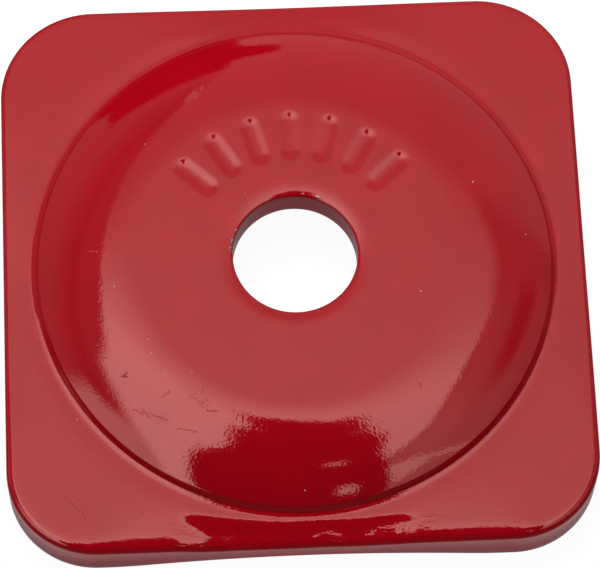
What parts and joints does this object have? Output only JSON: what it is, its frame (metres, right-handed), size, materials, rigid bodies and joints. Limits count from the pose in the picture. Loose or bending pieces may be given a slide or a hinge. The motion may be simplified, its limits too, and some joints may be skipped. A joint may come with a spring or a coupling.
{
  "type": "support plate",
  "caption": "Square domed support plate of coated aluminium that spreads a stud's clamp load over a belt, with a clear hole through its raised crown and a hollow underside.",
  "frame": {"origin": "on the stud hole's axis, in the plane on which the plate's corners bear", "axes": "+Z along the stud hole, from the bearing corners towards the crown; +X and +Y along the plate's sides, with the row of grooves behind the hole on +Y and the rolled side in front, on -Y"},
  "size_m": [0.0382, 0.0382, 0.0058],
  "materials": {
    "coat": "gloss"
  },
  "bodies": {
    "root": {"support_plate": "coat"}
  },
  "joints": []
}
